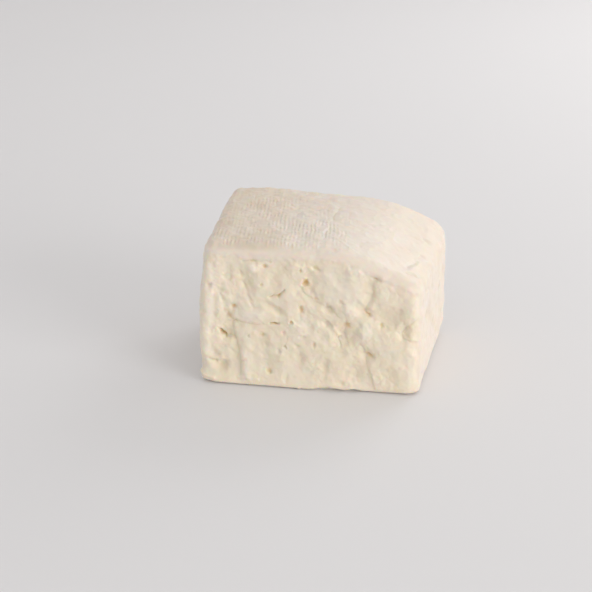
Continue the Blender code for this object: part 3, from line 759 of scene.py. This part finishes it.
# The block's mesh is one closed surface. The grid settles on the body, each point moves in or out
# by the depth of the relief there, and the foot is sliced flat. The mesh also keeps what the
# cheese's colour needs at each point: cut or skin, and the painted shade of pits, skin and sunk
# cut.
GRID_CELLS = (286, 132, 160)
MOST_TRIANGLES = 196000
SLICE_REACH = 1e-5
# How strongly the cut's painted shade follows how far it is sunk.
CUT_SHADE_MIDDLE = 0.5
CUT_SHADE_PER_MM = 0.45


def cube_grid(name, cells):
    """A cube from -1 to 1 whose faces are cut into a grid with this many cells along X, Y, Z."""
    mesh = bpy.data.meshes.new(name)
    grid = bmesh.new()
    bmesh.ops.create_cube(grid, size=2.0)
    for axis, count in enumerate(cells):
        along = [
            edge
            for edge in grid.edges
            if abs(edge.verts[0].co[axis] - edge.verts[1].co[axis]) > 1.0
        ]
        bmesh.ops.subdivide_edges(grid, edges=along, cuts=count - 1, use_grid_fill=False)
    grid.to_mesh(mesh)
    grid.free()
    return mesh


mesh = cube_grid("feta", GRID_CELLS)
cube_points = np.empty(len(mesh.vertices) * 3)
mesh.vertices.foreach_get("co", cube_points)
points = settle(cube_points.reshape(-1, 3))
normals = outward(points)
depth = skin_relief(points, normals) + right_relief(points, normals)
depth = SKIN_INSET + depth * ease(*SKIN_FOOT_FADE, points[:, 2])
front = on_cut(points, normals, -1.0)
back = on_cut(points, normals, 1.0)
front_curds, front_seams = curd_relief(points, (SMALL_CURDS,), FRONT_SEED, FRONT_SMOOTH_PLACES)
front_crags, front_narrow = crag_relief(
    points, FRONT_PITS, FRONT_SWELLS + FRONT_DIMPLES, FRONT_GROOVES, FRONT_TEARS
)
back_curds, back_seams = curd_relief(points, (LARGE_CURDS, SMALL_CURDS), BACK_SEED)
back_curds += ripple_height(BACK_SWELL, points)
grooves = back_strokes(BACK_GROOVE_SEED, BACK_GROOVE_COUNT, BACK_GROOVE_DEPTH)
ribs = back_strokes(BACK_RIB_SEED, BACK_RIB_COUNT, BACK_RIB_DEPTH)
back_marks, back_narrow = crag_relief(points, back_hollows(), (), grooves + ribs, back_tears())
depth += front * (front_curds + front_crags) + back * (back_curds + back_marks)
looks_forward = ease(*FOOT_FACING, -normals[:, 1])
for notch in FOOT_NOTCHES:
    depth += looks_forward * hollow_depth(notch, points[:, 0], points[:, 2])
for lip in FOOT_LIPS:
    depth += looks_forward * stroke_depth(lip, points[:, 0], points[:, 2])
# Painted shade on the skin, kept off the cut faces.
skin_shade = skin_shade_share(points, normals) * (1.0 - np.maximum(front, back))
# Painted shade on the cut faces: darker the deeper their marks are sunk.
cut_shade = CUT_SHADE_MIDDLE + CUT_SHADE_PER_MM * (front * front_crags + back * back_marks)
# Painted shade in narrow pits, grooves and open seams, by their depth.
pit_shade = front * (front_narrow + front_seams) + back * (back_narrow + back_seams)
points -= normals * depth[:, None]
middle = (points.min(axis=0) + points.max(axis=0)) / 2.0
points[:, :2] -= middle[:2]
mesh.vertices.foreach_set("co", (points * METRES_PER_MM).ravel())
cut = np.maximum(front, back)
for name, values in (("pit_shade", pit_shade), ("cut", cut), ("skin_shade", skin_shade), ("cut_shade", cut_shade)):
    mesh.attributes.new(name, "FLOAT", "POINT").data.foreach_set("value", values)
mesh.update()
block = bpy.data.objects.new("feta", mesh)
bpy.context.scene.collection.objects.link(block)
lighter = block.modifiers.new("fewer triangles", "DECIMATE")
lighter.ratio = MOST_TRIANGLES / (2 * len(mesh.polygons))
lighter.use_collapse_triangulate = True
graph = bpy.context.evaluated_depsgraph_get()
reduced = bpy.data.meshes.new_from_object(block.evaluated_get(graph))
block.modifiers.clear()
block.data = reduced
solid = bmesh.new()
solid.from_mesh(reduced)
everything = solid.verts[:] + solid.edges[:] + solid.faces[:]
sliced = bmesh.ops.bisect_plane(
    solid,
    geom=everything,
    dist=SLICE_REACH,
    plane_co=(0, 0, 0),
    plane_no=(0, 0, 1),
    clear_inner=True,
)
rim = [part for part in sliced["geom_cut"] if isinstance(part, bmesh.types.BMEdge)]
bmesh.ops.contextual_create(solid, geom=rim)
bmesh.ops.recalc_face_normals(solid, faces=solid.faces)
solid.to_mesh(reduced)
solid.free()
reduced.shade_smooth()

# The cheese is moist and milky: light sinks in a few millimetres. Its colour carries painted
# shade: the cut turns a darker warm cream the deeper it is sunk, and narrow pits and seams are
# painted a deep yellow shade. The skin is a little darker than the cut, with painted shade as
# well.
CHEESE_ROUGHNESS = 0.42
CHEESE_SPECULAR = 0.4
LIGHT_SINKS = 0.0014
LIGHT_SINKS_BY_COLOUR = (1.0, 0.62, 0.36)
CUT_COLOUR = (0.865, 0.787, 0.67, 1.0)
# The cut's painted shade, mixed in the deeper it is sunk.
CUT_SHADE_COLOUR = (0.835, 0.735, 0.575, 1.0)
CUT_WARM_COLOUR = (0.84, 0.745, 0.59, 1.0)
SKIN_COLOUR = (0.83, 0.74, 0.64, 1.0)
# The skin's painted shade, also used for its random patches.
SKIN_SHADE_COLOUR = (0.73, 0.62, 0.49, 1.0)
# Painted shade: the deep yellow laid into narrow pits and seams.
PIT_SHADE_COLOUR = (0.80, 0.52, 0.14, 1.0)
PIT_SHADE_DEPTHS = (0.25, 1.8)
WHEY_PATCHES_PER_METRE = 70.0
WHEY_DETAIL = 4.0
WHEY_LIMITS = (0.45, 0.9)

cheese = bpy.data.materials.new("feta")
cheese.use_nodes = True
nodes = cheese.node_tree.nodes
links = cheese.node_tree.links
shader = nodes["Principled BSDF"]
shader.inputs["Roughness"].default_value = CHEESE_ROUGHNESS
shader.inputs["Subsurface Weight"].default_value = 1.0
shader.inputs["Subsurface Radius"].default_value = LIGHT_SINKS_BY_COLOUR
shader.inputs["Subsurface Scale"].default_value = LIGHT_SINKS
shader.inputs["Specular IOR Level"].default_value = CHEESE_SPECULAR


def colour_mix(factor, first, second):
    """A node that mixes two colours, each a fixed one or the output of another node."""
    mix = nodes.new("ShaderNodeMix")
    mix.data_type = "RGBA"
    links.new(factor, mix.inputs["Factor"])
    for name, colour in (("A", first), ("B", second)):
        if isinstance(colour, tuple):
            mix.inputs[name].default_value = colour
        else:
            links.new(colour, mix.inputs[name])
    return mix.outputs["Result"]


def value_on_mesh(name):
    """A node that reads one of the values stored on the mesh."""
    reader = nodes.new("ShaderNodeAttribute")
    reader.attribute_name = name
    return reader.outputs["Fac"]


def share_between(limits, value):
    """A node that rises from 0 at the first limit to 1 at the second."""
    rise = nodes.new("ShaderNodeMapRange")
    rise.inputs["From Min"].default_value = limits[0]
    rise.inputs["From Max"].default_value = limits[1]
    links.new(value, rise.inputs["Value"])
    return rise.outputs["Result"]


place = nodes.new("ShaderNodeTexCoord")
whey = nodes.new("ShaderNodeTexNoise")
whey.inputs["Scale"].default_value = WHEY_PATCHES_PER_METRE
whey.inputs["Detail"].default_value = WHEY_DETAIL
links.new(place.outputs["Object"], whey.inputs["Vector"])
warm = share_between(WHEY_LIMITS, whey.outputs["Fac"])
# Painted shade in narrow pits and seams, by their depth.
pit_shade_share = share_between(PIT_SHADE_DEPTHS, value_on_mesh("pit_shade"))
# Painted shade on the skin.
skin = colour_mix(value_on_mesh("skin_shade"), SKIN_COLOUR, SKIN_SHADE_COLOUR)
# Painted shade on the cut, by how far it is sunk.
curd = colour_mix(value_on_mesh("cut_shade"), CUT_COLOUR, CUT_SHADE_COLOUR)
curd = colour_mix(warm, curd, CUT_WARM_COLOUR)
surface = colour_mix(value_on_mesh("cut"), skin, curd)
surface = colour_mix(pit_shade_share, surface, PIT_SHADE_COLOUR)
links.new(surface, shader.inputs["Base Color"])
reduced.materials.append(cheese)

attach(block, "root")
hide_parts("feta_block")

# The floor is a plain pale sheet of paper. It lies flat under the block and curves up far
# behind it, so that no edge shows.
FLOOR_COLOUR = (0.79, 0.773, 0.772, 1.0)
FLOOR_ROUGHNESS = 0.7
FLOOR_SIDES = (-2.5, 2.5)
FLOOR_FRONT = -1.6
SWEEP_START = 0.9
SWEEP_RADIUS = 0.5
SWEEP_STEPS = 12
SWEEP_TOP = 2.4

profile = [(FLOOR_FRONT, 0.0), (SWEEP_START, 0.0)]
for step in range(1, SWEEP_STEPS + 1):
    turn = np.pi / 2.0 * step / SWEEP_STEPS
    profile.append((SWEEP_START + SWEEP_RADIUS * np.sin(turn), SWEEP_RADIUS * (1 - np.cos(turn))))
profile.append((SWEEP_START + SWEEP_RADIUS, SWEEP_TOP))
floor_mesh = bpy.data.meshes.new("floor")
sweep = bmesh.new()
rows = [[sweep.verts.new((side, y, z)) for y, z in profile] for side in FLOOR_SIDES]
for (a, b), (c, d) in zip(itertools.pairwise(rows[0]), itertools.pairwise(rows[1])):
    sweep.faces.new((a, c, d, b))
sweep.to_mesh(floor_mesh)
sweep.free()
floor_mesh.shade_smooth()
floor = bpy.data.objects.new("floor", floor_mesh)
bpy.context.scene.collection.objects.link(floor)
paper = bpy.data.materials.new("floor")
paper.use_nodes = True
paper_shader = paper.node_tree.nodes["Principled BSDF"]
paper_shader.inputs["Base Color"].default_value = FLOOR_COLOUR
paper_shader.inputs["Roughness"].default_value = FLOOR_ROUGHNESS
floor_mesh.materials.append(paper)

# Plain studio light: a pale room, a soft window low to the right of the cut face, and a
# weaker one behind on the same side, which brightens the floor towards the right.
ROOM_COLOUR = (1.0, 1.0, 1.0, 1.0)
ROOM_STRENGTH = 0.72
WINDOW_AIM = Vector((0.0, 0.0, 0.03))


def way_out(turn, rise):
    """The way from the block to a place turn degrees right of the cut face and rise up."""
    turn = np.radians(turn)
    rise = np.radians(rise)
    return Vector((np.sin(turn) * np.cos(rise), -np.cos(turn) * np.cos(rise), np.sin(rise)))


def soft_window(name, turn, rise, distance, size, power):
    """A square light, size metres across, that looks at the block from this way and distance."""
    data = bpy.data.lights.new(name, "AREA")
    data.size = size
    data.energy = power
    way = way_out(turn, rise)
    lamp = bpy.data.objects.new(name, data)
    lamp.location = WINDOW_AIM + distance * way
    lamp.rotation_euler = way.to_track_quat("Z", "Y").to_euler()
    bpy.context.scene.collection.objects.link(lamp)


soft_window("window", turn=60.0, rise=12.0, distance=1.8, size=1.0, power=14.8)
soft_window("window behind", turn=150.0, rise=30.0, distance=0.9, size=0.5, power=1.6)
room = bpy.data.worlds.new("room")
room.use_nodes = True
room.node_tree.nodes["Background"].inputs["Color"].default_value = ROOM_COLOUR
room.node_tree.nodes["Background"].inputs["Strength"].default_value = ROOM_STRENGTH
bpy.context.scene.world = room
bpy.context.scene.view_settings.view_transform = "Standard"

# The camera stands a little to the right of the cut face and looks down on the block. It aims
# a little to the left of the block's middle, and its angle is the width of the picture.
CAMERA_TURN = 10.0
CAMERA_RISE = 23.3
CAMERA_DISTANCE = 0.745
CAMERA_ANGLE = 20.0
CAMERA_AIM = Vector((-14.5, 1.3, 26.7))

camera_data = bpy.data.cameras.new("camera")
camera_data.sensor_fit = "HORIZONTAL"
camera_data.angle = np.radians(CAMERA_ANGLE)
camera = bpy.data.objects.new("camera", camera_data)
aim = (CAMERA_AIM - Vector((middle[0], middle[1], 0.0))) * METRES_PER_MM
away = way_out(CAMERA_TURN, CAMERA_RISE)
camera.location = aim + CAMERA_DISTANCE * away
camera.rotation_euler = (-away).to_track_quat("-Z", "Y").to_euler()
bpy.context.scene.collection.objects.link(camera)
bpy.context.scene.camera = camera
